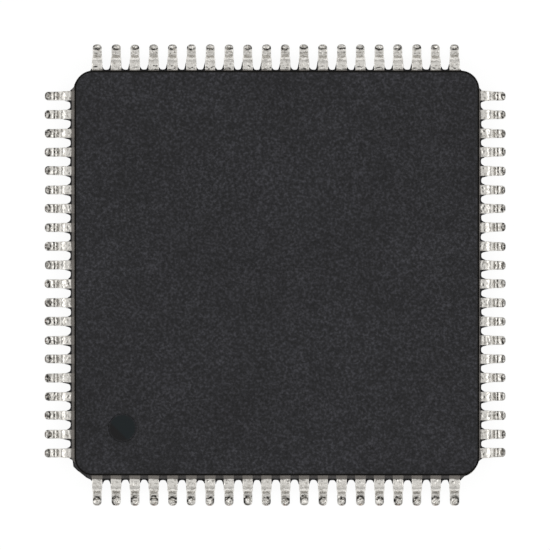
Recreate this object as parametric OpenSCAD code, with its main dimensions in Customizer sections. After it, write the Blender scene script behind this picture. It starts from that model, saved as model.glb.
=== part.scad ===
// Low-profile quad flat package with gull-wing leads on all four sides.
// Origin: centre of the package on the plane that the feet stand on. +Z is up, millimetres.
// Pin 1 is at the left end of the front (-Y) row, and the pins count counter-clockwise from above.

/* [Moulded body] */
// Side of the square body at the lead frame
body_side = 14; // [13.6:0.1:15]
// Height of the moulded body
body_height = 1.4; // [1.3:0.05:1.6]
// Gap between the underside of the body and the board
standoff = 0.1; // [0.05:0.01:0.15]
// Draft of the walls above and below the lead frame, in degrees
wall_draft = 8; // [6:1:14]
// Radius of the four corners, seen from above
corner_radius = 0.65; // [0.5:0.05:0.8]
// Rounding of the top and bottom edges
edge_radius = 0.04; // [0.02:0.01:0.12]

/* [Marks on the body] */
// Diameter of the pin-1 dimple
dimple_diameter = 1; // [0.8:0.1:1.4]
// Depth of the pin-1 dimple
dimple_depth = 0.06; // [0.03:0.01:0.1]
// Distance from the dimple's centre to each of the two nearest sides
dimple_inset = 1.7; // [1.4:0.1:2.2]
// Diameter of the four ejector-pin marks underneath
ejector_diameter = 1.2; // [0.8:0.1:1.6]
// Depth of the ejector-pin marks
ejector_depth = 0.04; // [0.02:0.01:0.08]
// Distance from each ejector-pin mark's centre to the two nearest sides
ejector_inset = 2.6; // [2.2:0.1:3]

/* [Trimmed flash between the leads] */
// How far the flash stands out beyond the wall
flash_reach = 0.1; // [0.05:0.01:0.12]
// How far the flash clings to the sides of the leads, beyond the wall
flash_horn = 0.2; // [0.15:0.01:0.24]
// Width of the rounded cut between two leads
flash_cut_width = 0.26; // [0.2:0.01:0.3]
// How far the flash runs on past the last lead of a row
flash_end = 0.08; // [0.05:0.01:0.1]

/* [Leads] */
// Distance between the centres of two leads
lead_pitch = 0.65; // [0.65:0.05:1]
// Least distance from the middle of a row's last lead to the end of its side
row_margin = 0.8; // [0.8:0.05:1.6]
// Width of a lead where it leaves the body
lead_width = 0.34; // [0.28:0.01:0.36]
// Width of a lead's foot
foot_width = 0.3; // [0.22:0.01:0.32]
// Thickness of the lead frame
lead_thickness = 0.15; // [0.12:0.01:0.18]
// How far the leads stand out beyond the body
lead_reach = 1; // [0.95:0.05:1.3]
// Length of the foot, from its tip to the middle of the lower bend
foot_length = 0.5; // [0.45:0.05:0.6]
// Inner radius of both bends
bend_radius = 0.1; // [0.08:0.01:0.14]
// Lean of the riser between the bends, in degrees from upright
riser_lean = 8; // [4:1:14]
// Rounding of the corners of the foot's tip, seen from above
tip_radius = 0.08; // [0.05:0.01:0.1]

/* [Inner leads] */
// Distance from the package's centre to the row of inner lead tips
inner_tip_distance = 3.6; // [3.5:0.05:3.8]
// Distance along a row from the middle of its last inner tip to the package's diagonal
inner_corner_gap = 0.46; // [0.4:0.02:0.6]
// Width of an inner lead at its tip
inner_tip_width = 0.18; // [0.14:0.01:0.2]
// Depth behind the wall at which the leads start to fan in
fan_depth = 0.15; // [0.1:0.01:0.2]
// Width of the lead-lock tape
tape_width = 0.8; // [0.5:0.1:1]
// Thickness of the lead-lock tape
tape_thickness = 0.05; // [0.04:0.01:0.08]
// Distance from the package's centre to the middle of the tape
tape_distance = 5; // [4.8:0.1:5.2]

/* [Die and paddle] */
// Side of the square die paddle
paddle_side = 6; // [5.6:0.1:6.2]
// How far the paddle is set down below the leads
paddle_downset = 0.22; // [0.18:0.01:0.26]
// Width of the tie bars
tie_bar_width = 0.22; // [0.18:0.01:0.26]
// Side of the square die
die_side = 4.6; // [4.2:0.1:5]
// Thickness of the die
die_thickness = 0.28; // [0.2:0.01:0.32]
// Thickness of the die-attach adhesive
attach_thickness = 0.025; // [0.015:0.005:0.04]
// How far the adhesive spreads beyond the die
attach_spread = 0.1; // [0.05:0.01:0.2]

/* [Bond wires] */
// Diameter of a bond wire
wire_diameter = 0.025; // [0.02:0.005:0.03]
// Diameter of the ball bond on the die
ball_diameter = 0.06; // [0.05:0.005:0.08]
// Height of the ball bond
ball_height = 0.025; // [0.02:0.005:0.03]
// Height of the wire loop above the die
loop_height = 0.15; // [0.12:0.01:0.18]
// Distance from the bond pads to the edge of the die
pad_inset = 0.1; // [0.08:0.01:0.14]
// Distance from the last pad of a row to the corner of the die
pad_row_margin = 0.26; // [0.24:0.01:0.4]
// Distance from an inner lead's tip to its wire bond
stitch_inset = 0.15; // [0.12:0.01:0.25]

/* [Hidden] */

front = 0;
right = 90;
back = 180;
left = 270;

body_half = body_side / 2;
body_top = standoff + body_height;
frame_middle = standoff + body_height / 2;
frame_bottom = frame_middle - lead_thickness / 2;
frame_top = frame_middle + lead_thickness / 2;

// How many leads fit on a side, from the first to the last
leads_per_side = floor((body_side - 2 * row_margin) / lead_pitch) + 1;
row_half = (leads_per_side - 1) / 2 * lead_pitch;
inner_tip_pitch = 2 * (inner_tip_distance - inner_corner_gap) / (leads_per_side - 1);
tip_distance = body_half + lead_reach;
foot_start = tip_distance - foot_length;
shoulder_end = foot_start - (frame_middle - lead_thickness / 2) * tan(riser_lean);
knee_distance = body_half - fan_depth;

paddle_bottom = frame_bottom - paddle_downset;
paddle_top = paddle_bottom + lead_thickness;
die_bottom = paddle_top + attach_thickness;
die_top = die_bottom + die_thickness;

// Angle between two neighbouring facets of the corners, and facets in each rounded edge and bend
corner_step = 15;
edge_steps = 3;
bend_steps = 5;
tip_steps = 3;
wire_sides = 6;
// How deep the flash is rooted behind the wall
flash_root = 0.05;
// Share of a wire's span at which its loop bends down, and its height there
loop_bend_share = 0.6;
loop_bend_height = 0.7 * loop_height;
// How deep a wire's ends reach into the die and the lead while they cut the wire's channel
wire_sink = 0.02;
// What a cutting or clipping shape stands out beyond what it cuts
beyond = 1;

// ---- Outlines ----

// Points along an arc about centre, from one angle to another
function arc(centre, radius, from, to, steps) = [
    for (i = [0 : steps])
        let (a = from + (to - from) * i / steps)
        centre + radius * [cos(a), sin(a)]
];

// Distance from the centre to the side of a round-cornered square that faces the given angle
function support(half, radius, angle) =
    (half - radius) * (abs(cos(angle)) + abs(sin(angle))) + radius;

// Round-cornered square, seen from above, whose sides all face a multiple of corner_step
module rounded_square(half, radius) {
    intersection_for (angle = [0 : corner_step : 179])
        rotate(angle)
            square([2 * support(half, radius, angle), 4 * half], center = true);
}

// The moulding's section: upright beside the lead frame, then with drafted walls and rounded edges.
// The widest place is half_width.
function drafted_section(half_width) =
    let (
        rise = body_height / 2,
        band = lead_thickness / 2,
        inward = (rise - band) * tan(wall_draft),
        reach = edge_radius * tan((90 - wall_draft) / 2),
        centre = [half_width - inward - reach, rise - edge_radius],
        upper = concat([[half_width, band]], arc(centre, edge_radius, wall_draft, 90, edge_steps)),
        lower = [for (i = [len(upper) - 1 : -1 : 0]) [upper[i][0], -upper[i][1]]]
    )
    concat(
        upper,
        [for (i = [len(upper) - 1 : -1 : 0]) [-upper[i][0], upper[i][1]]],
        [for (i = [len(lower) - 1 : -1 : 0]) [-lower[i][0], lower[i][1]]],
        lower
    );

// A long bar with the moulding's section, lying along Y
module drafted_bar(half_width) {
    translate([0, 0, frame_middle])
        rotate([90, 0, 0])
            linear_extrude(4 * body_half, center = true)
                polygon(drafted_section(half_width));
}

// Turns what is drawn for the front row round to another side
module on_side(side) {
    rotate(side) children();
}

// Where lead number i of a row lies across the row, from its left end
function lead_place(i) = (i - (leads_per_side - 1) / 2) * lead_pitch;
function inner_place(i) = (i - (leads_per_side - 1) / 2) * inner_tip_pitch;

// ---- Leads ----

// One face of the formed sheet, seen from its edge, at the given height above the sheet's middle
function formed_face(offset) =
    let (
        middle_radius = bend_radius + lead_thickness / 2,
        tangent = middle_radius * tan((90 - riser_lean) / 2),
        upper_centre = [shoulder_end - tangent, frame_middle - middle_radius],
        lower_centre = [foot_start + tangent, lead_thickness / 2 + middle_radius]
    )
    concat(
        [[inner_tip_distance - beyond, frame_middle + offset]],
        arc(upper_centre, middle_radius + offset, 90, riser_lean, bend_steps),
        arc(lower_centre, middle_radius - offset, 180 + riser_lean, 270, bend_steps),
        [[tip_distance + beyond, lead_thickness / 2 + offset]]
    );

// The formed sheet seen from its edge: distance from the package's centre against height
function formed_profile() =
    let (lower = formed_face(-lead_thickness / 2))
    concat(formed_face(lead_thickness / 2), [for (i = [len(lower) - 1 : -1 : 0]) lower[i]]);

// The lead seen from above: place across the row against distance from the centre
module lead_outline(i) {
    x = lead_place(i);
    tip_x = inner_place(i);
    neck = foot_width / 2;
    shoulder = lead_width / 2;
    polygon(concat(
        [
            [tip_x - inner_tip_width / 2, -inner_tip_distance],
            [x - shoulder, -knee_distance],
            [x - shoulder, -shoulder_end],
            [x - neck, -foot_start]
        ],
        arc([x - neck + tip_radius, -tip_distance + tip_radius], tip_radius, 180, 270, tip_steps),
        arc([x + neck - tip_radius, -tip_distance + tip_radius], tip_radius, 270, 360, tip_steps),
        [
            [x + neck, -foot_start],
            [x + shoulder, -shoulder_end],
            [x + shoulder, -knee_distance],
            [tip_x + inner_tip_width / 2, -inner_tip_distance]
        ]
    ));
}

// One lead of the front row, cut from the formed sheet
module lead(i) {
    intersection() {
        rotate([90, 0, -90])
            linear_extrude(2 * body_side, center = true)
                polygon(formed_profile());
        translate([0, 0, -beyond])
            linear_extrude(body_top + 2 * beyond)
                lead_outline(i);
    }
}

module lead_row(side) {
    on_side(side)
        for (i = [0 : leads_per_side - 1]) lead(i);
}

// ---- Die, paddle and tape ----

// Tie bar seen from its edge: distance along the diagonal against height
function tie_bar_profile(length) =
    let (
        start = paddle_side / 2,
        bend = paddle_side / sqrt(2) + tie_bar_width,
        rise_end = bend + 1.4 * paddle_downset
    )
    [
        [start, paddle_bottom], [bend, paddle_bottom],
        [rise_end, frame_bottom], [length, frame_bottom],
        [length, frame_top], [rise_end, frame_top],
        [bend, paddle_top], [start, paddle_top]
    ];

// Paddle with its four tie bars, which run out to the given distance along the diagonals
module paddle_and_bars(length) {
    translate([-paddle_side / 2, -paddle_side / 2, paddle_bottom])
        cube([paddle_side, paddle_side, lead_thickness]);
    for (angle = [45 : 90 : 315])
        rotate(angle)
            rotate([90, 0, 0])
                linear_extrude(tie_bar_width, center = true)
                    polygon(tie_bar_profile(length));
}

module centred_plate(side, bottom, thickness) {
    translate([-side / 2, -side / 2, bottom])
        cube([side, side, thickness]);
}

// ---- Bond wires ----

function unit(v) = v / norm(v);
function across(v) = [-v[1], v[0]];

// Direction in which a wire's section lies at the bend b between a and c, long enough for a mitre
function mitre(a, b, c) =
    let (before = across(unit(b - a)), after = across(unit(c - b)), middle = unit(before + after))
    middle / (middle * before);

// Direction of a level end at b, reached from a
function level_end(a, b) = [1 / across(unit(b - a))[0], 0];

// A wire's middle line, as place along it against height, with its half-width at each point. Its ends
// stop on the die and on the lead, or lie as deep inside them as sink says.
function wire_line(span, sink) =
    let (
        bend = [loop_bend_share * span, die_top + loop_bend_height],
        end = [span, frame_top],
        fall = (end - bend) / (bend[1] - end[1]),
        ball = ball_diameter / 2,
        wire = wire_diameter / 2
    )
    concat(
        sink > 0 ? [[[0, die_top - sink], ball]] : [],
        [
            [[0, die_top], ball], [[0, die_top + ball_height], wire],
            [[0, die_top + loop_height], wire], [bend, wire], [end + sink * fall, wire]
        ]
    );

// The direction that a wire's section has at point k of its line
function section_direction(line, k) =
    k == 0 ? level_end(line[0][0], line[1][0])
    : k == len(line) - 1 ? level_end(line[k - 1][0], line[k][0])
    : mitre(line[k - 1][0], line[k][0], line[k + 1][0]);

// A wire from the pad at `from` to the lead at `to`, both seen from above
module bond_wire(from, to, sink) {
    span = norm(to - from);
    along = (to - from) / span;
    line = wire_line(span, sink);
    last = len(line) - 1;
    points = [
        for (k = [0 : last])
            for (j = [0 : wire_sides - 1])
                let (
                    a = 360 * j / wire_sides,
                    s = line[k][0] + line[k][1] * cos(a) * section_direction(line, k),
                    plan = from + s[0] * along + line[k][1] * sin(a) * across(along)
                )
                [plan[0], plan[1], s[1]]
    ];
    sides = [
        for (k = [0 : last - 1])
            for (j = [0 : wire_sides - 1])
                let (m = (j + 1) % wire_sides)
                [
                    k * wire_sides + j, k * wire_sides + m,
                    (k + 1) * wire_sides + m, (k + 1) * wire_sides + j
                ]
    ];
    polyhedron(
        points,
        concat(
            sides,
            [[for (j = [wire_sides - 1 : -1 : 0]) j]],
            [[for (j = [0 : wire_sides - 1]) last * wire_sides + j]]
        )
    );
}

// Place of bond pad i across the die, and of the stitch bond on lead i
function pad_place(i) =
    let (row = die_side - 2 * pad_row_margin)
    row * (i / (leads_per_side - 1) - 0.5);

function stitch_place(i) =
    let (share = stitch_inset / (knee_distance - inner_tip_distance))
    [
        inner_place(i) + share * (lead_place(i) - inner_place(i)),
        -inner_tip_distance - stitch_inset
    ];

module wire_row(side, sink = 0) {
    on_side(side)
        for (i = [0 : leads_per_side - 1])
            bond_wire([pad_place(i), -die_side / 2 + pad_inset], stitch_place(i), sink);
}

// ---- Moulded body ----

// Webs of compound left between the leads where the dam bars were cut out, as thick as the lead frame
module trimmed_flash() {
    outer = -body_half - flash_reach;
    half_length = row_half + lead_width / 2 + flash_end;
    root = flash_reach + flash_root;
    horn_width = (lead_pitch - lead_width - flash_cut_width) / 2;
    horn_half = row_half + lead_width / 2 + horn_width;
    translate([0, 0, frame_bottom])
        linear_extrude(lead_thickness)
            difference() {
                union() {
                    polygon([
                        [-half_length, outer], [half_length, outer],
                        [half_length + root, outer + root], [-half_length - root, outer + root]
                    ]);
                    translate([-horn_half, -body_half - flash_horn])
                        square([2 * horn_half, flash_horn]);
                }
                for (i = [0 : leads_per_side - 2])
                    translate([lead_place(i + 0.5), outer]) flash_cut();
                for (i = [0 : leads_per_side - 1])
                    translate([lead_place(i), -body_half])
                        square([lead_width, 2 * beyond], center = true);
            }
}

// Rounded cut between two leads, from its bottom outwards
module flash_cut() {
    translate([0, -flash_cut_width / 2])
        circle(d = flash_cut_width, $fn = 32);
    translate([-flash_cut_width / 2, -flash_cut_width / 2 - beyond])
        square([flash_cut_width, beyond]);
}

// The outside of the moulding, before the inner pieces take their room
module moulding() {
    intersection_for (angle = [0 : corner_step : 179])
        rotate(angle)
            drafted_bar(support(body_half, corner_radius, angle));
    for (side = [front, right, back, left])
        on_side(side) trimmed_flash();
}

module marks() {
    dimple = body_half - dimple_inset;
    translate([-dimple, -dimple, body_top - dimple_depth])
        cylinder(d = dimple_diameter, h = beyond, $fn = 64);
    ejector = body_half - ejector_inset;
    for (x = [-ejector, ejector])
        for (y = [-ejector, ejector])
            translate([x, y, standoff + ejector_depth - beyond])
                cylinder(d = ejector_diameter, h = beyond, $fn = 64);
}

module moulded_body() {
    color([0.19, 0.19, 0.2])
        difference() {
            moulding();
            marks();
            for (side = [front, right, back, left]) {
                lead_row(side);
                wire_row(side, wire_sink);
            }
            paddle_and_bars(2 * body_half);
            die_attach();
            die();
            lead_lock_tape();
        }
}

module die_paddle() {
    color([0.78, 0.77, 0.74])
        intersection() {
            paddle_and_bars(2 * body_half);
            translate([0, 0, -beyond])
                linear_extrude(body_top + 2 * beyond)
                    rounded_square(body_half, corner_radius);
        }
}

module die_attach() {
    color([0.7, 0.7, 0.68])
        centred_plate(die_side + 2 * attach_spread, paddle_top, attach_thickness);
}

module die() {
    color([0.36, 0.38, 0.42])
        centred_plate(die_side, die_bottom, die_thickness);
}

// The tape along the front row, drawn from its end as the formed leads are, so that it lies on them
module tape_bar() {
    inner = tape_distance - tape_width / 2;
    outer = tape_distance + tape_width / 2;
    top = frame_top + tape_thickness;
    rotate([90, 0, -90])
        linear_extrude(2 * outer, center = true)
            polygon([[inner, frame_top], [outer, frame_top], [outer, top], [inner, top]]);
}

module lead_lock_tape() {
    color([0.72, 0.5, 0.16])
        for (side = [front, right, back, left])
            on_side(side) tape_bar();
}

module front_leads() {
    color([0.8, 0.79, 0.77]) lead_row(front);
}

module right_leads() {
    color([0.8, 0.79, 0.77]) lead_row(right);
}

module back_leads() {
    color([0.8, 0.79, 0.77]) lead_row(back);
}

module left_leads() {
    color([0.8, 0.79, 0.77]) lead_row(left);
}

module front_bond_wires() {
    color([0.86, 0.68, 0.28]) wire_row(front);
}

module right_bond_wires() {
    color([0.86, 0.68, 0.28]) wire_row(right);
}

module back_bond_wires() {
    color([0.86, 0.68, 0.28]) wire_row(back);
}

module left_bond_wires() {
    color([0.86, 0.68, 0.28]) wire_row(left);
}

moulded_body();
die_paddle();
die_attach();
die();
lead_lock_tape();
front_leads();
right_leads();
back_leads();
left_leads();
front_bond_wires();
right_bond_wires();
back_bond_wires();
left_bond_wires();
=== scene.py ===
import math

import bmesh
import bpy
import numpy as np
from mathutils import Matrix, Vector
from mathutils.geometry import tessellate_polygon


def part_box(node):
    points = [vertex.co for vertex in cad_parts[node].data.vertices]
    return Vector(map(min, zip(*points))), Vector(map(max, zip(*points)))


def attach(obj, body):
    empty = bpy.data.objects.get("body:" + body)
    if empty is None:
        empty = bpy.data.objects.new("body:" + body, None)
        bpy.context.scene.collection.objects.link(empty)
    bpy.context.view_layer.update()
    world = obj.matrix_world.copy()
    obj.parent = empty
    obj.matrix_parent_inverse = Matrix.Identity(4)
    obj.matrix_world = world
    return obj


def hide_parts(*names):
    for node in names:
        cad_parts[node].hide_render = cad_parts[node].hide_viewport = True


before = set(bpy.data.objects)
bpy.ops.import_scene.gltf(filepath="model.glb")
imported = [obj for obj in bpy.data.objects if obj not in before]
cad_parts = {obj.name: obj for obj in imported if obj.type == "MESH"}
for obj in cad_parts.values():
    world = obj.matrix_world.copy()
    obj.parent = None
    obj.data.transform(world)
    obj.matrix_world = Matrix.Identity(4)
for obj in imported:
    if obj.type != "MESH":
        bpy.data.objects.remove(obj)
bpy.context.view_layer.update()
print("frame loaded, nodes:", len(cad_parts))

mm = 0.001
sideAngles = {"front": 0, "right": 90, "back": 180, "left": 270}


def boxOf(node):
    # lowest and highest corner of a frame node, in millimetres
    low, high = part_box(node)
    return np.array(low) / mm, np.array(high) / mm


bodyLow, bodyHigh = boxOf("moulded_body")
rowLow, rowHigh = boxOf("front_leads")
leadTop = rowHigh[2]
tipDistance = -rowLow[1]
innerTip = -rowHigh[1]

# The moulded body, in millimetres and degrees. The mould's upper half sits a little out of line.
bodyShape = {
    "side": 14.0, "draft": 6.5, "cornerRadius": 0.65, "edgeRadius": 0.035,
    "cornerSteps": 14, "edgeSteps": 5, "sideSteps": 24, "upperShift": (0.033, 0.047),
    "dimpleAt": 5.3, "dimpleRadius": 0.49, "dimpleDepth": 0.06,
    "ejectorAt": 4.4, "ejectorRadius": 0.6, "ejectorDepth": 0.04,
    "lipRadius": 0.01, "roundSteps": 72,
}

# One lead; its inner end lies in the compound and its foot on the board
leadShape = {
    "count": 20, "sourceWidth": 0.34, "thickness": 0.15, "cornerRadius": 0.03, "footWidth": 0.3,
    "footLength": 0.5, "bendRadius": 0.1, "riserLean": 8.0, "tipRadius": 0.12,
    "innerWidth": 0.18, "innerCornerGap": 0.46, "fanDepth": 0.15,
    "shoulderLump": 0.005, "toeLump": 0.008, "grooveDepth": 0.024, "nailHeight": 0.016,
    "humpHeight": 0.02, "seed": 80,
    # ripples in the plating: how many, their shortest and longest wave, and the mean of the two
    "rippleCount": 12, "rippleWaves": (0.05, 0.16), "rippleMean": 0.105,
    # where the groove and the painted shade round it run, as e of the nail's oval, and how wide they are
    "grooveAt": 0.85, "grooveSpread": 0.2, "shadeRingAt": 0.8, "shadeRingSpread": 0.34,
    # humps and bands of painted shade across the foot, as distance from its start, and their spread
    "hump": (0.2, 0.035), "band": (0.162, 0.034), "riserShade": 0.055, "footBandShade": (0.17, 0.05),
    # by row: width of the shoulder, how far the tip stops short of the full reach, length of the nail
    "width": {"front": 0.365, "right": 0.35, "back": 0.365, "left": 0.33},
    "shortfall": {"front": 0.0, "right": 0.05, "back": 0.04, "left": 0.0},
    "nailLength": {"front": 0.34, "right": 0.15, "back": 0.19, "left": 0.22},
}

# Thin compound left at the lead roots where the dam bars were cut out
flashShape = {
    "cutDepth": 0.08, "horn": 0.15, "hornWidth": 0.07, "end": 0.03, "bleed": 0.006,
    "slopeHeight": 0.05, "columnsPerPitch": 44, "root": 0.08, "seed": 7,
    # by row: reach in the middle of a gap, share of the horn at a gap's lower and upper end, and tone, which
    # paints light onto the slopes between leads
    "reach": {"front": 0.108, "right": 0.095, "back": 0.078, "left": 0.093},
    "hornShare": {"front": (0.6, 0.6), "right": (0.5, 1.1), "back": (1.3, 0.35), "left": (1.2, 0.4)},
    "tone": {"front": 0.28, "right": 0.66, "back": 0.12, "left": 0.62},
}

bodyHalf = bodyShape["side"] / 2
partingHeight = (bodyLow[2] + bodyHigh[2]) / 2
rowHalf = rowHigh[0] - leadShape["sourceWidth"] / 2
pitch = 2 * rowHalf / (leadShape["count"] - 1)


def hexColour(text, alpha=1.0):
    # sRGB hex to linear: c / 12.92 below 0.04045, else ((c + 0.055) / 1.055) to the power 2.4
    values = [int(text[i:i + 2], 16) / 255 for i in (1, 3, 5)]
    linear = [v / 12.92 if v <= 0.04045 else ((v + 0.055) / 1.055) ** 2.4 for v in values]
    return (*linear, alpha)


def addNode(tree, kind, values=None, links=None, **settings):
    node = tree.nodes.new(kind)
    for key, value in settings.items():
        setattr(node, key, value)
    for key, value in (values or {}).items():
        node.inputs[key].default_value = value
    for key, socket in (links or {}).items():
        tree.links.new(socket, node.inputs[key])
    return node


def newMaterial(name):
    material = bpy.data.materials.new(name)
    material.use_nodes = True
    tree = material.node_tree
    tree.nodes.clear()
    output = addNode(tree, "ShaderNodeOutputMaterial")
    place = addNode(tree, "ShaderNodeTexCoord")
    return material, tree, output, place.outputs["Object"]


def turned(points, side):
    # turns points of the front row about Z to another side: x' = x cos a - y sin a, y' = x sin a + y cos a
    a = math.radians(sideAngles[side])
    c, s = round(math.cos(a)), round(math.sin(a))
    x, y, z = points[..., 0], points[..., 1], points[..., 2]
    return np.stack([c * x - s * y, s * x + c * y, z], axis=-1)


def gridFaces(rows, columns, closed):
    # quads between neighbouring rows and columns of a grid, the last column joined to the first if closed
    r, c = np.meshgrid(np.arange(rows - 1), np.arange(columns if closed else columns - 1), indexing="ij")
    n = (c + 1) % columns
    return np.stack([r * columns + c, r * columns + n, (r + 1) * columns + n, (r + 1) * columns + c],
                    axis=-1).reshape(-1, 4)


def outward(points, faces):
    # turns every face round if the signed volume, the sum of a . (b x c) / 6 over its triangles, is negative
    volume = 0.0
    for face in (faces if isinstance(faces, list) else [faces]):
        corners = points[face]
        for k in range(1, corners.shape[1] - 1):
            volume += np.einsum("ij,ij->", corners[:, 0], np.cross(corners[:, k], corners[:, k + 1]))
    flip = volume < 0
    return [f[:, ::-1] if flip else f for f in (faces if isinstance(faces, list) else [faces])]


def makePiece(name, points, faces, material, sharp=40, attributes=None):
    # points in millimetres; faces is a list of index arrays, one for each number of corners
    mesh = bpy.data.meshes.new(name)
    mesh.from_pydata((points * mm).tolist(), [], [list(f) for group in faces for f in group.tolist()])
    for label, values in (attributes or {}).items():
        layer = mesh.attributes.new(label, "FLOAT", "POINT")
        layer.data.foreach_set("value", values.astype(np.float32))
    mesh.shade_smooth()
    mesh.set_sharp_from_angle(angle=math.radians(sharp))
    mesh.materials.append(material)
    piece = bpy.data.objects.new(name, mesh)
    bpy.context.scene.collection.objects.link(piece)
    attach(piece, "root")
    return piece


# Black epoxy moulding compound filled with fused silica: dark neutral grey, matt from the spark-eroded
# mould, with fine bright and dark grains, and polished where the pin-1 marker's pin touched it
epoxyLook = {
    # the bleed colour also paints light onto the flash slopes between leads, and the rim colour paints shade
    # along the flash's outer edge
    "colour": "#1F1F22", "light": "#3B3B40", "dark": "#0C0C0E", "bleedAndLightColour": "#85807A",
    # the wall colour is painted shade for the dark line along the draft walls
    "rimShadeColour": "#0A0909", "wallShadeColour": "#1B1A19", "dimpleShadeColour": "#0B0A0C",
    "grain": 0.085, "patch": 2.4, "roughness": 0.5, "polished": 0.25,
    # the dimple colours paint a dark reflection in the polished floor and shade towards its lower left
    "dimpleDarkReflection": "#0B1518", "grainDepth": 0.003,
}


def epoxyMaterial():
    look = epoxyLook
    material, tree, output, place = newMaterial("epoxyMouldingCompound")
    grain = addNode(tree, "ShaderNodeTexNoise", {"Scale": 1 / (look["grain"] * mm), "Detail": 3.0,
                    "Roughness": 0.6}, {"Vector": place})
    patch = addNode(tree, "ShaderNodeTexNoise", {"Scale": 1 / (look["patch"] * mm), "Detail": 5.0,
                    "Roughness": 0.78}, {"Vector": place})
    ramp = addNode(tree, "ShaderNodeValToRGB", None, {"Fac": grain.outputs["Fac"]})
    ramp.color_ramp.elements[0].position = 0.3
    ramp.color_ramp.elements[0].color = hexColour(look["dark"])
    ramp.color_ramp.elements[1].position = 0.72
    ramp.color_ramp.elements[1].color = hexColour(look["light"])
    middle = ramp.color_ramp.elements.new(0.5)
    middle.color = hexColour(look["colour"])
    shade = addNode(tree, "ShaderNodeMapRange", {"From Min": 0.35, "From Max": 0.65, "To Min": 0.78,
                    "To Max": 1.22}, {"Value": patch.outputs["Fac"]})
    shaded = addNode(tree, "ShaderNodeVectorMath", None, {0: ramp.outputs["Color"],
                     1: shade.outputs["Result"]}, operation="MULTIPLY")
    # how far a point lies from the middle of the dimple, seen from above
    offset = addNode(tree, "ShaderNodeVectorMath", {1: (-bodyShape["dimpleAt"] * mm,
                     -bodyShape["dimpleAt"] * mm, bodyHigh[2] * mm)}, {0: place}, operation="SUBTRACT")
    flat = addNode(tree, "ShaderNodeVectorMath", {1: (1.0, 1.0, 3.0)}, {0: offset.outputs[0]},
                   operation="MULTIPLY")
    distance = addNode(tree, "ShaderNodeVectorMath", None, {0: flat.outputs[0]}, operation="LENGTH")
    dimple = addNode(tree, "ShaderNodeMapRange", {"From Min": (bodyShape["dimpleRadius"] + 0.01) * mm,
                     "From Max": (bodyShape["dimpleRadius"] - 0.03) * mm},
                     {"Value": distance.outputs["Value"]})
    # the dimple's floor colour is a painted dark reflection, with painted shade towards its lower left:
    # along the diagonal (x + y) / sqrt(2)
    diagonal = addNode(tree, "ShaderNodeVectorMath", {1: (0.7071, 0.7071, 0.0)}, {0: offset.outputs[0]},
                       operation="DOT_PRODUCT")
    lowerLeftShadeMask = addNode(tree, "ShaderNodeMapRange", {"From Min": -0.12 * mm, "From Max": -0.2 * mm},
                    {"Value": diagonal.outputs["Value"]})
    paintedDimpleFloor = addNode(tree, "ShaderNodeMix", {6: hexColour(look["dimpleDarkReflection"]),
                        7: hexColour(look["dimpleShadeColour"])}, {0: lowerLeftShadeMask.outputs["Result"]}, data_type="RGBA")
    dimpled = addNode(tree, "ShaderNodeMix", None,
                      {0: dimple.outputs["Result"], 6: shaded.outputs[0],
                       7: paintedDimpleFloor.outputs[2]}, data_type="RGBA")
    # the flash's tone: bleed over tin towards 1, painted light on the slopes between leads below that, and
    # painted shade at the rim below 0
    tone = addNode(tree, "ShaderNodeAttribute", attribute_name="tone")
    bleed = addNode(tree, "ShaderNodeMapRange", None, {"Value": tone.outputs["Fac"]})
    broken = addNode(tree, "ShaderNodeMapRange", {"From Max": -0.5}, {"Value": tone.outputs["Fac"]})
    bled = addNode(tree, "ShaderNodeMix", {7: hexColour(look["bleedAndLightColour"])},
                   {0: bleed.outputs["Result"], 6: dimpled.outputs[2]}, data_type="RGBA")
    coloured = addNode(tree, "ShaderNodeMix", {7: hexColour(look["rimShadeColour"])},
                       {0: broken.outputs["Result"], 6: bled.outputs[2]}, data_type="RGBA")
    rough = addNode(tree, "ShaderNodeMapRange", {"To Min": look["roughness"], "To Max": look["polished"]},
                    {"Value": dimple.outputs["Result"]})
    still = addNode(tree, "ShaderNodeMapRange", {"To Min": 1.0, "To Max": 0.08},
                    {"Value": dimple.outputs["Result"]})
    bump = addNode(tree, "ShaderNodeBump", {"Distance": look["grainDepth"] * mm},
                   {"Height": grain.outputs["Fac"], "Strength": still.outputs["Result"]})
    shader = addNode(tree, "ShaderNodeBsdfPrincipled", {"IOR": 1.5, "Specular IOR Level": 0.25},
                     {"Base Color": coloured.outputs[2], "Roughness": rough.outputs["Result"],
                      "Normal": bump.outputs["Normal"]})
    # the walls keep the mould's rough spark-eroded face, which gives back no sheen, and their near-black
    # colour is painted shade for the dark line along each wall
    wall = addNode(tree, "ShaderNodeAttribute", attribute_name="wall")
    roughAndShadedWall = addNode(tree, "ShaderNodeBsdfDiffuse", {"Color": hexColour(look["wallShadeColour"]),
                     "Roughness": 1.0})
    mixed = addNode(tree, "ShaderNodeMixShader", None, {0: wall.outputs["Fac"],
                    1: shader.outputs["BSDF"], 2: roughAndShadedWall.outputs[0]})
    tree.links.new(mixed.outputs[0], output.inputs["Surface"])
    return material


# Matt tin electroplate on copper alloy: pale warm grey metal, lumpy from forming, dull in patches, with
# painted shade and dark reflections in the toe's grooves and across the feet, and bare copper on the cut
# ends of the toes
tinLook = {
    # the darkest tin colour is painted shade and dark reflection for the toe and feet
    "colour": "#E9E6E0", "dull": "#A39E95", "paintedTinShade": "#242220", "copper": "#A8724F", "roughness": 0.3,
    "dullRoughness": 0.45, "patch": 0.11, "grain": 0.035, "grainDepth": 0.005,
}


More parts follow.
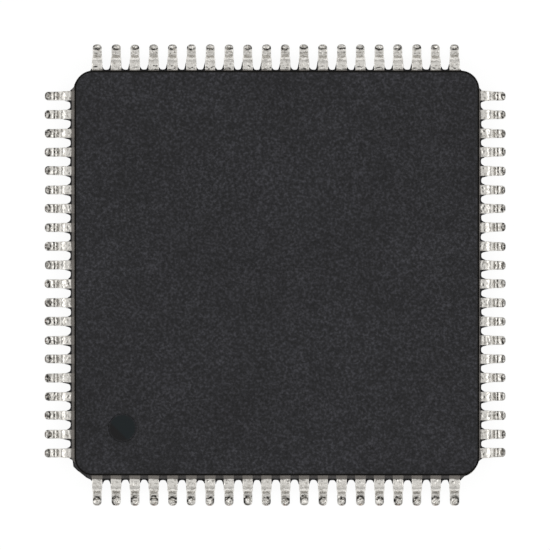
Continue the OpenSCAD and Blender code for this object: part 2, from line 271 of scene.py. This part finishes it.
def tinMaterial():
    look = tinLook
    material, tree, output, place = newMaterial("mattTinPlate")
    patch = addNode(tree, "ShaderNodeTexNoise", {"Scale": 1 / (look["patch"] * mm), "Detail": 4.0,
                    "Roughness": 0.65}, {"Vector": place})
    grain = addNode(tree, "ShaderNodeTexNoise", {"Scale": 1 / (look["grain"] * mm), "Detail": 2.0},
                    {"Vector": place})
    dull = addNode(tree, "ShaderNodeMapRange", {"From Min": 0.52, "From Max": 0.72},
                   {"Value": patch.outputs["Fac"]})
    plated = addNode(tree, "ShaderNodeMix", {6: hexColour(look["colour"]), 7: hexColour(look["dull"])},
                     {0: dull.outputs["Result"]}, data_type="RGBA")
    # painted shade and dark reflections in the toe's grooves, round the nail and in bands across the feet
    paintedTinShade = addNode(tree, "ShaderNodeAttribute", attribute_name="paintedTinShade")
    shadedTin = addNode(tree, "ShaderNodeMix", {7: hexColour(look["paintedTinShade"])},
                        {0: paintedTinShade.outputs["Fac"], 6: plated.outputs[2]}, data_type="RGBA")
    # distance from the package's middle along the row's own axis: the larger of |x| and |y|
    size = addNode(tree, "ShaderNodeVectorMath", None, {0: place}, operation="ABSOLUTE")
    parts = addNode(tree, "ShaderNodeSeparateXYZ", None, {0: size.outputs[0]})
    reach = addNode(tree, "ShaderNodeMath", None, {0: parts.outputs["X"], 1: parts.outputs["Y"]},
                    operation="MAXIMUM")
    cut = addNode(tree, "ShaderNodeMapRange", {"From Min": (tipDistance - 0.012) * mm,
                  "From Max": (tipDistance - 0.004) * mm}, {"Value": reach.outputs[0]})
    colour = addNode(tree, "ShaderNodeMix", {7: hexColour(look["copper"])},
                     {0: cut.outputs["Result"], 6: shadedTin.outputs[2]}, data_type="RGBA")
    rough = addNode(tree, "ShaderNodeMapRange", {"To Min": look["roughness"],
                    "To Max": look["dullRoughness"]}, {"Value": dull.outputs["Result"]})
    bump = addNode(tree, "ShaderNodeBump", {"Distance": look["grainDepth"] * mm, "Strength": 0.6},
                   {"Height": grain.outputs["Fac"]})
    shader = addNode(tree, "ShaderNodeBsdfPrincipled", {"Metallic": 1.0},
                     {"Base Color": colour.outputs[2], "Roughness": rough.outputs["Result"],
                      "Normal": bump.outputs["Normal"]})
    tree.links.new(shader.outputs["BSDF"], output.inputs["Surface"])
    return material


def innerMaterial(name, colour, second, grainSize, metallic, roughness):
    # a hidden piece's finish: two close tones mixed by grain of a real size, which also roughens it
    material, tree, output, place = newMaterial(name)
    grain = addNode(tree, "ShaderNodeTexNoise", {"Scale": 1 / (grainSize * mm), "Detail": 3.0},
                    {"Vector": place})
    tone = addNode(tree, "ShaderNodeMix", {6: hexColour(colour), 7: hexColour(second)},
                   {0: grain.outputs["Fac"]}, data_type="RGBA")
    bump = addNode(tree, "ShaderNodeBump", {"Distance": 0.002 * mm, "Strength": 0.5},
                   {"Height": grain.outputs["Fac"]})
    shader = addNode(tree, "ShaderNodeBsdfPrincipled", {"Metallic": metallic, "Roughness": roughness},
                     {"Base Color": tone.outputs[2], "Normal": bump.outputs["Normal"]})
    tree.links.new(shader.outputs["BSDF"], output.inputs["Surface"])
    return material


epoxy = epoxyMaterial()
tin = tinMaterial()
print("materials for the body and leads ready")


def roundedSquare(half, radius):
    # a square's outline with round corners: each corner is an arc about (half - radius) on both axes,
    # and the straight side that follows it is cut into even steps
    steps, straight = bodyShape["cornerSteps"], bodyShape["sideSteps"]
    inner = half - radius
    arcAngles = np.radians(np.linspace(0, 90, steps + 1))
    corner = np.stack([inner + radius * np.cos(arcAngles), inner + radius * np.sin(arcAngles)], axis=1)
    run = np.linspace(inner, -inner, straight + 1)[1:-1]
    side = np.stack([run, np.full_like(run, half)], axis=1)
    quarter = np.vstack([corner, side])
    turns = [quarter]
    for _ in range(3):
        last = turns[-1]
        turns.append(np.stack([-last[:, 1], last[:, 0]], axis=1))
    return np.vstack(turns)


def recess(centre, radius, depth, faceHeight, up):
    # a shallow round recess: rings carried along a profile that rolls over a small lip, drops to the
    # floor and runs in to the middle
    lip = bodyShape["lipRadius"]
    roll = np.radians(np.linspace(0, 80, 5))
    rings = [(radius + lip - lip * math.sin(a), lip * (1 - math.cos(a))) for a in roll]
    rings += [(radius - 0.004, depth * 0.8), (radius - 0.012, depth * 0.97), (radius - 0.03, depth)]
    rings += [(radius * share, depth) for share in (0.66, 0.33)]
    turn = np.linspace(0, 2 * math.pi, bodyShape["roundSteps"], endpoint=False)
    r = np.array([ring[0] for ring in rings])[:, None]
    drop = np.array([ring[1] for ring in rings])[:, None]
    x = centre[0] + r * np.cos(turn)
    y = centre[1] + r * np.sin(turn)
    z = faceHeight - up * drop * np.ones_like(x)
    points = np.stack([x, y, z], axis=-1).reshape(-1, 3)
    middle = np.array([[centre[0], centre[1], faceHeight - up * depth]])
    quads = gridFaces(len(rings), len(turn), True)
    last = (len(rings) - 1) * len(turn) + np.arange(len(turn))
    fan = np.stack([last, np.roll(last, -1), np.full_like(last, len(points))], axis=1)
    return np.vstack([points, middle]), quads, fan, points[:len(turn)]


def bodyMesh():
    # the moulding: upright beside the lead frame, then the round-cornered square is drawn in by the draft
    # and by the rounded edge as the section rises, and the same downwards
    shape = bodyShape
    slope = math.radians(shape["draft"])
    rise = (bodyHigh[2] - bodyLow[2]) / 2
    band = leadShape["thickness"] / 2
    radius = shape["edgeRadius"]
    inward = (rise - band) * math.tan(slope) + radius * math.tan((math.pi / 2 - slope) / 2)
    bend = np.linspace(slope, math.pi / 2, shape["edgeSteps"] + 1)
    inset = np.concatenate([[0.0], inward - radius * np.cos(bend)])
    height = np.concatenate([[band], rise - radius + radius * np.sin(bend)])
    inset = np.concatenate([inset[::-1], inset])
    height = np.concatenate([-height[::-1], height])
    rings = [roundedSquare(bodyHalf - i, shape["cornerRadius"] - i) for i in inset]
    # wall share: 1 on the walls, which take the painted wall shade, fading to 0 over the rounded edge
    wall = np.concatenate([[1.0, 1.0], np.linspace(0.4, 0, shape["edgeSteps"])])
    around = len(rings[0])
    wall = np.repeat(np.concatenate([wall[::-1], wall]), around)
    points = np.concatenate([np.column_stack([ring, np.full(around, partingHeight + h)])
                             for ring, h in zip(rings, height)])
    points[points[:, 2] > partingHeight, :2] += shape["upperShift"]
    groups = [(points, gridFaces(len(rings), around, True), None)]
    marks = {
        "top": [((-shape["dimpleAt"], -shape["dimpleAt"]), shape["dimpleRadius"], shape["dimpleDepth"])],
        "bottom": [((x, y), shape["ejectorRadius"], shape["ejectorDepth"])
                   for x in (-shape["ejectorAt"], shape["ejectorAt"])
                   for y in (-shape["ejectorAt"], shape["ejectorAt"])],
    }
    for face, edge, heightHere, up in (("top", points[-around:], bodyHigh[2], 1),
                                       ("bottom", points[:around], bodyLow[2], -1)):
        outlines = [edge]
        for centre, markRadius, depth in marks[face]:
            recessPoints, quads, fan, rim = recess(centre, markRadius, depth, heightHere, up)
            groups.append((recessPoints, quads, fan))
            outlines.append(rim)
        flatPoints = np.concatenate(outlines)
        triangles = tessellate_polygon([[Vector(p) for p in outline] for outline in outlines])
        groups.append((flatPoints, None, np.array(triangles)))
    allPoints, faces, base = [], [], 0
    for groupPoints, quads, triangles in groups:
        allPoints.append(groupPoints)
        faces += [f + base for f in (quads, triangles) if f is not None]
        base += len(groupPoints)
    wall = np.append(wall, np.zeros(base - len(wall)))
    return np.concatenate(allPoints), faces, wall


def flashMesh():
    # a strip along each row: between two leads its outer edge is a bowl, depth times |u| to the power
    # 2.6 where u runs from -1 to 1 across the gap, and it climbs each lead's side as a horn that falls
    # off as (1 - distance / hornWidth) to the power 1.7; over the lead's root it runs straight
    shape, lead = flashShape, leadShape
    chance = np.random.default_rng(shape["seed"])
    allPoints, allFaces, allTone, base = [], [], [], 0
    for side in sideAngles:
        width = lead["width"][side]
        sideReach = shape["reach"][side]
        halfLength = rowHalf + width / 2 + shape["end"] + sideReach + shape["root"]
        count = int(2 * halfLength / pitch * shape["columnsPerPitch"])
        x = np.linspace(-halfLength, halfLength, count)
        gap = np.clip(np.floor((x + rowHalf) / pitch).astype(int) + 1, 0, lead["count"])
        fromLead = np.abs((x + rowHalf + pitch / 2) % pitch - pitch / 2)
        overLead = (fromLead < width / 2) & (np.abs(x) < rowHalf + width / 2)
        gaps = lead["count"] + 1
        halfGap = (pitch - width) / 2
        u = np.clip((x - (gap - 0.5) * pitch + rowHalf) / halfGap, -1, 1)
        lean = chance.uniform(-0.15, 0.15, gaps)[gap]
        bottom = sideReach * chance.uniform(0.9, 1.1, gaps)[gap]
        depth = shape["cutDepth"] * chance.uniform(0.7, 1.2, gaps)[gap]
        lowHorn = shape["horn"] * shape["hornShare"][side][0] * chance.uniform(0.55, 1.3, gaps)[gap]
        highHorn = shape["horn"] * shape["hornShare"][side][1] * chance.uniform(0.55, 1.3, gaps)[gap]
        horn = np.where(u < 0, lowHorn, highHorn)
        bowl = bottom + depth * np.abs(np.clip(u - lean * (1 - u * u), -1, 1)) ** 2.6
        fade = np.clip(1 - (1 - np.abs(u)) * halfGap / shape["hornWidth"], 0, 1) ** 1.7
        reach = bowl + horn * fade
        past = np.abs(x) - (rowHalf + width / 2)
        pastFade = np.clip(1 - past / shape["hornWidth"], 0, 1) ** 1.7
        endReach = sideReach + 0.3 * horn * pastFade - np.clip(past - shape["end"], 0, 1)
        reach = np.where(past > 0, endReach, reach)
        rootReach = 0.085 + 0.01 * np.sin(x * 9.1 + sideAngles[side])
        rootReach += chance.uniform(-0.006, 0.006, len(x))
        reach = np.where(overLead, rootReach, reach)
        thin = np.where(overLead, shape["bleed"], -0.004)
        top = leadTop + thin
        bottomHeight = leadTop - lead["thickness"] - thin
        inner = bodyHalf - shape["root"]
        outer = bodyHalf + reach
        bevel = 0.012
        slope = shape["slopeHeight"]
        # where the strip ends, its inner rows draw back with its outer edge
        rows = [
            (np.full_like(x, inner), top + slope),
            (np.minimum(bodyHalf + 0.01, outer - 0.02), top + slope * 0.7),
            (np.minimum(bodyHalf + 0.05, outer - 0.016), top + slope * 0.25),
            (np.minimum(bodyHalf + 0.062, outer - 0.014), top + slope * 0.12), (outer - bevel, top),
            (outer, top - bevel), (outer, bottomHeight + bevel), (outer - bevel, bottomHeight),
            (np.full_like(x, inner), bottomHeight),
        ]
        grid = np.stack([np.stack([x, -d, h * np.ones_like(x)], axis=-1) for d, h in rows], axis=1)
        points = turned(grid.reshape(-1, 3), side)
        quads = gridFaces(count, len(rows), True)
        ends = np.stack([np.arange(len(rows))[::-1], (count - 1) * len(rows) + np.arange(len(rows))])
        pieces = outward(points, [quads, ends])
        allPoints.append(points)
        allFaces += [f + base for f in pieces]
        # tone: 1 where the bleed lies thin over tin, less on the slope between leads as painted light that
        # is stronger on the left and right rows, and painted shade at the rim between leads
        tone = np.where(overLead, 0.95, shape["tone"][side]) * chance.uniform(0.85, 1.0, len(x))
        rim = np.where(overLead, tone * 0.8, -0.5)
        allTone.append(np.stack([tone, tone, tone, rim, rim, rim, rim, rim, rim], axis=1).reshape(-1))
        base += len(points)
    return np.concatenate(allPoints), allFaces, np.concatenate(allTone)


bodyPoints, bodyFaces, bodyWall = bodyMesh()
body = makePiece("mouldedBody", bodyPoints, bodyFaces, epoxy, 30,
                 {"wall": bodyWall})
work = bmesh.new()
work.from_mesh(body.data)
bmesh.ops.remove_doubles(work, verts=work.verts, dist=0.0001 * mm)
bmesh.ops.recalc_face_normals(work, faces=work.faces)
work.to_mesh(body.data)
work.free()
body.data.set_sharp_from_angle(angle=math.radians(30))
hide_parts("moulded_body")
print("moulded body made:", len(body.data.polygons), "faces")

flashPoints, flashFaces, flashTone = flashMesh()
flash = makePiece("trimmedFlash", flashPoints, flashFaces, epoxy, 35,
                  {"tone": flashTone})
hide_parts("moulded_body")
print("trimmed flash made:", len(flash.data.polygons), "faces")


# The broken gate's outline, and its rings from the bottom up: how far each is drawn in towards the middle,
# its height over the leads' underside or top, and its tone; a tone below 0 paints shade along its outer edge
gateShape = {
    "outline": [[-7.03, -6.4], [-7.0, -6.64], [-6.86, -6.78], [-6.7, -6.9], [-6.54, -7.03],
                [-6.37, -7.11], [-6.37, -6.7], [-6.6, -6.6], [-6.7, -6.37]],
    "middle": [-6.6, -6.6],
    "lowRings": [(0.012, 0.0), (0.0, 0.012)],
    "highRings": [(0.0, -0.012), (0.012, 0.0), (0.1, 0.03), (0.25, 0.12)],
    "tone": [-0.3, -0.4, -0.2, 0.02, 0.06, 0.06],
}


def gateMesh():
    # the broken gate at the front left corner: a plate as thick as the leads between the two rows' ends,
    # bevelled along its outer edge, and sloping up to the body
    shape = gateShape
    outline = np.array(shape["outline"])
    middle = np.array(shape["middle"])
    toMiddle = (middle - outline) / np.linalg.norm(middle - outline, axis=1)[:, None].clip(0.001)
    low = leadTop - leadShape["thickness"]
    rings = [(i, low + h) for i, h in shape["lowRings"]] + [(i, leadTop + h) for i, h in shape["highRings"]]
    points = np.concatenate([np.column_stack([outline + toMiddle * i, np.full(len(outline), h)])
                             for i, h in rings])
    count = len(outline)
    caps = np.stack([np.arange(count)[::-1], (len(rings) - 1) * count + np.arange(count)])
    faces = outward(points, [gridFaces(len(rings), count, True), caps])
    tone = np.repeat(shape["tone"], count)
    return points, faces, tone


gatePoints, gateFaces, gateTone = gateMesh()
gate = makePiece("brokenGate", gatePoints, gateFaces, epoxy, 35,
                 {"tone": gateTone})
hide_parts("moulded_body")
print("broken gate made")


def formedLine(lean, footStart, tip):
    # the formed sheet's middle line: its direction turns evenly through each bend, and its place is the
    # running sum of that direction. Returns distance, height, direction and path length at stations
    # that are close together outside the body
    shape = leadShape
    radius = shape["bendRadius"] + shape["thickness"] / 2
    turn = math.pi / 2 - math.radians(lean)
    drop = leadTop - shape["thickness"]
    middle = leadTop - shape["thickness"] / 2
    tangent = radius * math.tan(turn / 2)
    shoulderEnd = footStart - drop * math.tan(math.radians(lean))
    straight = drop / math.cos(math.radians(lean)) - 2 * tangent
    knots = np.cumsum([0, shoulderEnd - tangent - innerTip, radius * turn, straight, radius * turn,
                       tip - footStart - tangent])
    angles = np.array([0, 0, -turn, -turn, 0, 0])
    fine = np.linspace(0, knots[-1], 6000)
    direction = np.interp(fine, knots, angles)
    step = fine[1] - fine[0]
    alongMean = (np.cos(direction[1:]) + np.cos(direction[:-1])) / 2 * step
    upMean = (np.sin(direction[1:]) + np.sin(direction[:-1])) / 2 * step
    distance = innerTip + np.concatenate([[0], np.cumsum(alongMean)])
    height = middle + np.concatenate([[0], np.cumsum(upMean)])
    outside = bodyHalf - 0.1 - innerTip
    ending = knots[-1] - shape["tipRadius"]
    place = np.concatenate([np.linspace(0, outside, 9)[:-1], np.linspace(outside, ending, 84)[:-1],
                            knots[-1] - shape["tipRadius"] * (1 - np.linspace(0, 1, 12)) ** 2])
    return (np.interp(place, fine, distance), np.interp(place, fine, height),
            np.interp(place, fine, direction), place)


def leadSection():
    # a rectangle with round corners, as shares: a point lies at sideShare times the straight half plus
    # arcShare times the corner's radius, both across and through the sheet
    across = np.linspace(-1, 1, 13)
    arc = np.radians([22.5, 45, 67.5])
    one, none = np.ones(3), np.zeros(13)
    top = (across, none, np.ones(13), np.ones(13))
    corner = (one, np.sin(arc), one, np.cos(arc))
    sideRun = (np.ones(3), np.ones(3), np.array([1, 0, -1]), np.zeros(3))
    lower = (one, np.sin(arc[::-1]), -one, -np.cos(arc[::-1]))
    under = (np.linspace(1, -1, 5), np.zeros(5), -np.ones(5), -np.ones(5))
    half = [top, corner, sideRun, lower, under]
    mirrored = [(-a[::-1], -b[::-1], c[::-1], d[::-1]) for a, b, c, d in (lower, sideRun, corner)]
    return [np.concatenate([part[k] for part in half + mirrored]) for k in range(4)]


def leadMesh(side, index, chance):
    # a round-cornered rectangle carried along the formed line: its width changes along it. Its upper face
    # is raised by a sum of sine ripples, by a nail, height times (1 - (e / 0.8) squared), and by a bell
    # shaped hump, and lowered by a groove that is a bell curve of e round the nail's oval
    shape = leadShape
    tip = tipDistance - shape["shortfall"][side] - abs(chance.normal(0, 0.006))
    lean = shape["riserLean"] + chance.normal(0, 0.6)
    footStart = tipDistance - shape["footLength"] + chance.normal(0, 0.008)
    distance, height, direction, place = formedLine(lean, footStart, tip)
    knee = bodyHalf - shape["fanDepth"]
    outerPlace = index * pitch - rowHalf
    innerPitch = 2 * (innerTip - shape["innerCornerGap"]) / (shape["count"] - 1)
    innerPlace = (index - (shape["count"] - 1) / 2) * innerPitch
    middle = np.interp(distance, [innerTip, knee, bodyHalf + 0.1, tipDistance],
                       [innerPlace, outerPlace, outerPlace, outerPlace + chance.normal(0, 0.008)])
    full = shape["width"][side]
    width = np.interp(distance, [innerTip, knee, bodyHalf, bodyHalf + 0.14, bodyHalf + 0.2, footStart - 0.1,
                                 footStart + 0.05, tipDistance],
                      [shape["innerWidth"], full, full, full + 0.015, full, full - 0.015,
                       shape["footWidth"] + 0.01, shape["footWidth"]])
    width = width + (distance > bodyHalf) * chance.normal(0, 0.006)
    toe = np.clip((distance - tip + shape["tipRadius"]) / shape["tipRadius"], 0, 1)
    halfWidth = width / 2 - (shape["tipRadius"] * 0.9) * (1 - np.sqrt(1 - toe ** 2))
    acrossShare, acrossArc, throughShare, throughArc = leadSection()
    corner = shape["cornerRadius"]
    x = middle[:, None] + acrossShare * (halfWidth[:, None] - corner) + acrossArc * corner
    # low waves in the plating, as a sum of ripples that cross the lead at chance angles
    ripple = np.zeros_like(x)
    for _ in range(shape["rippleCount"]):
        length = chance.uniform(*shape["rippleWaves"])
        heading = chance.uniform(0, math.pi)
        phase = chance.uniform(0, 2 * math.pi)
        across, along = math.cos(heading), math.sin(heading)
        ripple += np.sin(2 * math.pi * (x * across + place[:, None] * along) / length + phase) * length
    ripple /= shape["rippleMean"] * math.sqrt(shape["rippleCount"] / 2)
    # the nail, an oval at the toe: e is 1 on its rim and 0 at its middle
    nailLength = shape["nailLength"][side] * chance.uniform(0.9, 1.1)
    nailMiddle = tip - nailLength * 0.46
    along = (distance[:, None] - nailMiddle) / (nailLength / 2)
    aside = (x - middle[:, None]) / (width[:, None] / 2)
    e = np.sqrt(along ** 2 + (aside * 0.9) ** 2)
    rim = np.exp(-((e - shape["grooveAt"]) / shape["grooveSpread"]) ** 2)
    groove = rim * shape["grooveDepth"] * chance.uniform(0.6, 1.2)
    nail = np.clip(1 - (e / 0.8) ** 2, 0, 1) * shape["nailHeight"] * chance.uniform(0.4, 1.4)
    exposed = np.clip((distance - bodyHalf - 0.02) / 0.08, 0, 1) * shape["shoulderLump"]
    strength = exposed[:, None] + np.clip((1.15 - e) / 0.3, 0, 1) * shape["toeLump"]
    # the rows at the left and right have a low hump across the foot
    humpAt, humpSpread = shape["hump"]
    hump = np.exp(-((distance - footStart - humpAt) / humpSpread) ** 2)[:, None] * shape["humpHeight"]
    hump = hump * (side in ("left", "right"))
    slump = shape["thickness"] * 0.4 * (1 - np.sqrt(1 - toe ** 2))
    upper = np.clip(throughShare, 0, 1) * (1 - np.abs(acrossShare) ** 4 * 0.6)
    raised = (strength * ripple + nail + hump - groove - slump[:, None]) * upper
    offset = throughShare * (shape["thickness"] / 2 - corner) + throughArc * corner + raised
    d = np.minimum(distance[:, None] - np.sin(direction)[:, None] * offset, tipDistance)
    z = np.maximum(height[:, None] + np.cos(direction)[:, None] * offset, 0.0)
    # painted shade and dark reflections: a half-moon round the nail that opens towards a chance angle; on
    # the rows at the left and right, spots inside it, a band across the foot and a mark at the riser; on the
    # front and back rows, a band across the foot
    angle = np.arctan2(aside, -along)
    opening = 0.5 + 0.5 * np.cos(angle - chance.uniform(-1.2, 1.2))
    paintedTinShade = np.exp(-((e - shape["shadeRingAt"]) / shape["shadeRingSpread"]) ** 2) * (0.3 + 0.85 * opening)
    if side in ("left", "right"):
        spots = np.clip(0.75 + 0.5 * ripple, 0, 1) * np.clip((1.1 - e) / 0.25, 0, 1)
        paintedTinShade = np.maximum(paintedTinShade * 0.9, spots * chance.uniform(0.5, 0.85))
        paintedTinShade *= 1 - np.exp(-(e / chance.uniform(0.12, 0.4)) ** 2) * chance.uniform(0, 1)
        bandAt, bandSpread = shape["band"]
        band = np.exp(-((distance - footStart - bandAt) / bandSpread) ** 2)[:, None]
        band = band * (0.95 + 0.2 * ripple)
        paintedTinShade = np.maximum(paintedTinShade, band * chance.uniform(0.65, 1.0))
        riser = np.exp(-((distance - footStart) / shape["riserShade"]) ** 4)[:, None]
        riser = riser * (0.3 + 0.25 * ripple)
        paintedTinShade = np.maximum(paintedTinShade, riser)
    else:
        bandShadeAt, bandShadeSpread = shape["footBandShade"]
        footBandShade = np.exp(-((distance - footStart - bandShadeAt) / bandShadeSpread) ** 4)[:, None]
        footBandShade = footBandShade * (0.22 + 0.1 * ripple)
        paintedTinShade = np.maximum(paintedTinShade, footBandShade)
    paintedTinShade = np.clip(paintedTinShade * (0.85 + 0.3 * ripple), 0, 1) * np.clip(throughShare + 1, 0, 1)
    rows, columns = x.shape
    points = np.stack([x, -d, z], axis=-1).reshape(-1, 3)
    caps = np.array([[middle[0], -distance[0], height[0]], [middle[-1], -tip, z[-1].mean()]])
    ring = np.arange(columns)
    startCap = np.stack([np.roll(ring, -1), ring, np.full(columns, len(points))], axis=1)
    last = (rows - 1) * columns + ring
    endCap = np.stack([last, np.roll(last, -1), np.full(columns, len(points) + 1)], axis=1)
    points = turned(np.vstack([points, caps]), side)
    faces = outward(points, [gridFaces(rows, columns, True), startCap, endCap])
    return points, faces, np.append(paintedTinShade.reshape(-1), [0, 0])


chance = np.random.default_rng(leadShape["seed"])
number = 0
for side in sideAngles:
    for index in range(leadShape["count"]):
        number += 1
        leadPoints, leadFaces, leadPaintedShade = leadMesh(side, index, chance)
        lead = makePiece("lead%02d" % number, leadPoints, leadFaces, tin, 60,
                         {"paintedTinShade": leadPaintedShade})
        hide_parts(side + "_leads")
print("leads made:", number)

# Pieces sealed in the compound keep their frame meshes
innerFinishes = {
    # silver plate on stamped copper alloy: soft pale metal with rolling grain
    "die_paddle": ("silverPlatedCopper", "#C9C6BE", "#B7B3A9", 0.05, 1.0, 0.35),
    # cured silver-filled epoxy: dull grey paste with flakes
    "die_attach": ("silverFilledEpoxy", "#B0AEA9", "#8F8D88", 0.02, 0.6, 0.55),
    # passivated silicon: dark blue-grey and glossy
    "die": ("passivatedSilicon", "#4A4F5C", "#5B5566", 0.12, 0.3, 0.18),
    # amber polyimide film
    "lead_lock_tape": ("polyimideTape", "#B5802A", "#A6731F", 0.3, 0.0, 0.3),
}
wireFinish = innerMaterial("drawnGoldWire", "#DDB75A", "#D3AB4B", 0.02, 1.0, 0.22)
for node, finish in innerFinishes.items():
    material = innerMaterial(*finish)
    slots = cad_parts[node].data.materials
    slots.clear()
    slots.append(material)
for side in sideAngles:
    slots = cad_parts[side + "_bond_wires"].data.materials
    slots.clear()
    slots.append(wireFinish)
print("inner pieces finished")

# Pale floor, white as seen by the camera and in reflections, with the object's own faint shadow
floorLook = {"size": 0.6, "glow": 0.93, "shadowShare": 0.1}


def floorMaterial():
    material, tree, output, _ = newMaterial("whiteCard")
    path = addNode(tree, "ShaderNodeLightPath")
    seen = addNode(tree, "ShaderNodeMath", None, {0: path.outputs["Is Camera Ray"],
                   1: path.outputs["Is Glossy Ray"]}, operation="MAXIMUM")
    seen = addNode(tree, "ShaderNodeMath", None, {0: seen.outputs[0],
                   1: path.outputs["Is Transmission Ray"]}, operation="MAXIMUM")
    plain = addNode(tree, "ShaderNodeBsdfDiffuse", {"Color": (0.9, 0.9, 0.9, 1)})
    share = floorLook["shadowShare"]
    faint = addNode(tree, "ShaderNodeBsdfDiffuse", {"Color": (share, share, share, 1)})
    glow = addNode(tree, "ShaderNodeEmission", {"Strength": floorLook["glow"]})
    bright = addNode(tree, "ShaderNodeAddShader", None, {0: faint.outputs[0], 1: glow.outputs[0]})
    mixed = addNode(tree, "ShaderNodeMixShader", None, {0: seen.outputs[0], 1: plain.outputs[0],
                    2: bright.outputs[0]})
    tree.links.new(mixed.outputs[0], output.inputs["Surface"])
    return material


half = floorLook["size"] / 2
floorMesh = bpy.data.meshes.new("floor")
floorMesh.from_pydata([(-half, -half, 0), (half, -half, 0), (half, half, 0), (-half, half, 0)], [],
                      [(0, 1, 2, 3)])
floorMesh.materials.append(floorMaterial())
floor = bpy.data.objects.new("floor", floorMesh)
bpy.context.scene.collection.objects.link(floor)

# Soft light: two boxes left and right, an even ceiling and dark walls below it
lightPlan = {"boxSize": (0.085, 0.26), "boxDistance": 0.2, "elevation": 45, "boxRadiance": 1.35}
for sign in (-1, 1):
    lampData = bpy.data.lights.new("softBox", "AREA")
    lampData.shape = "RECTANGLE"
    lampData.size, lampData.size_y = lightPlan["boxSize"]
    area = lampData.size * lampData.size_y
    lampData.energy = lightPlan["boxRadiance"] * math.pi * area
    lamp = bpy.data.objects.new("softBox", lampData)
    rise = math.radians(lightPlan["elevation"])
    lamp.location = (sign * lightPlan["boxDistance"] * math.cos(rise), 0,
                     lightPlan["boxDistance"] * math.sin(rise))
    lamp.rotation_euler = (0, sign * (math.pi / 2 - rise), 0)
    bpy.context.scene.collection.objects.link(lamp)

world = bpy.data.worlds.new("studio")
bpy.context.scene.world = world
world.use_nodes = True
sky = world.node_tree
sky.nodes.clear()
way = addNode(sky, "ShaderNodeTexCoord")
wayParts = addNode(sky, "ShaderNodeSeparateXYZ", None, {0: way.outputs["Generated"]})
# radiance by share of the way up as a sine: even towards the front and back, and with dark walls
# below the boxes towards the left and right
skySteps = {
    "frontBack": [(0.0, 0.42), (0.3, 0.5), (0.7, 0.72), (0.985, 0.78), (1.0, 0.62)],
    "leftRight": [(0.0, 0.05), (0.2, 0.1), (0.4, 0.62), (0.7, 0.72), (0.985, 0.78), (1.0, 0.62)],
}
levels = {}
for name, steps in skySteps.items():
    levels[name] = addNode(sky, "ShaderNodeValToRGB", None, {"Fac": wayParts.outputs["Z"]})
    ramp = levels[name].color_ramp
    while len(ramp.elements) < len(steps):
        ramp.elements.new(0.5)
    for element, (position, radiance) in zip(ramp.elements, steps):
        element.position = position
        element.color = (radiance, radiance, radiance, 1)
# share of left and right: x squared / (x squared + y squared)
squared = [addNode(sky, "ShaderNodeMath", None, {0: wayParts.outputs[axis], 1: wayParts.outputs[axis]},
                   operation="MULTIPLY") for axis in ("X", "Y")]
flatLength = addNode(sky, "ShaderNodeMath", None, {0: squared[0].outputs[0], 1: squared[1].outputs[0]},
                     operation="ADD")
sideways = addNode(sky, "ShaderNodeMath", None, {0: squared[0].outputs[0], 1: flatLength.outputs[0]},
                   operation="DIVIDE")
level = addNode(sky, "ShaderNodeMix", None, {0: sideways.outputs[0],
                6: levels["frontBack"].outputs["Color"], 7: levels["leftRight"].outputs["Color"]},
                data_type="RGBA")
skyPath = addNode(sky, "ShaderNodeLightPath")
lightSky = addNode(sky, "ShaderNodeBackground", {"Strength": 1.0}, {"Color": level.outputs[2]})
whiteSky = addNode(sky, "ShaderNodeBackground", {"Color": (1, 1, 1, 1), "Strength": 1.0})
skyMix = addNode(sky, "ShaderNodeMixShader", None, {0: skyPath.outputs["Is Camera Ray"],
                 1: lightSky.outputs[0], 2: whiteSky.outputs[0]})
addNode(sky, "ShaderNodeOutputWorld", None, {"Surface": skyMix.outputs[0]})

# Very long lens straight above
viewPlan = {"from": (-0.03, -0.02, 700.0), "at": (-0.03, -0.02, 0.8), "fieldWidth": 19.01}
cameraData = bpy.data.cameras.new("camera")
camera = bpy.data.objects.new("camera", cameraData)
start, target = Vector(viewPlan["from"]) * mm, Vector(viewPlan["at"]) * mm
camera.location = start
forward = (target - start).normalized()
right = forward.cross(Vector((0, 1, 0))).normalized()
camera.rotation_euler = Matrix((right, right.cross(forward), -forward)).transposed().to_euler()
cameraData.lens = cameraData.sensor_width * (target - start).length / (viewPlan["fieldWidth"] * mm)
cameraData.clip_start = 0.01
cameraData.clip_end = 10
bpy.context.scene.collection.objects.link(camera)
bpy.context.scene.camera = camera

bpy.context.scene.view_settings.view_transform = "Standard"
print("stage, lights and camera ready")
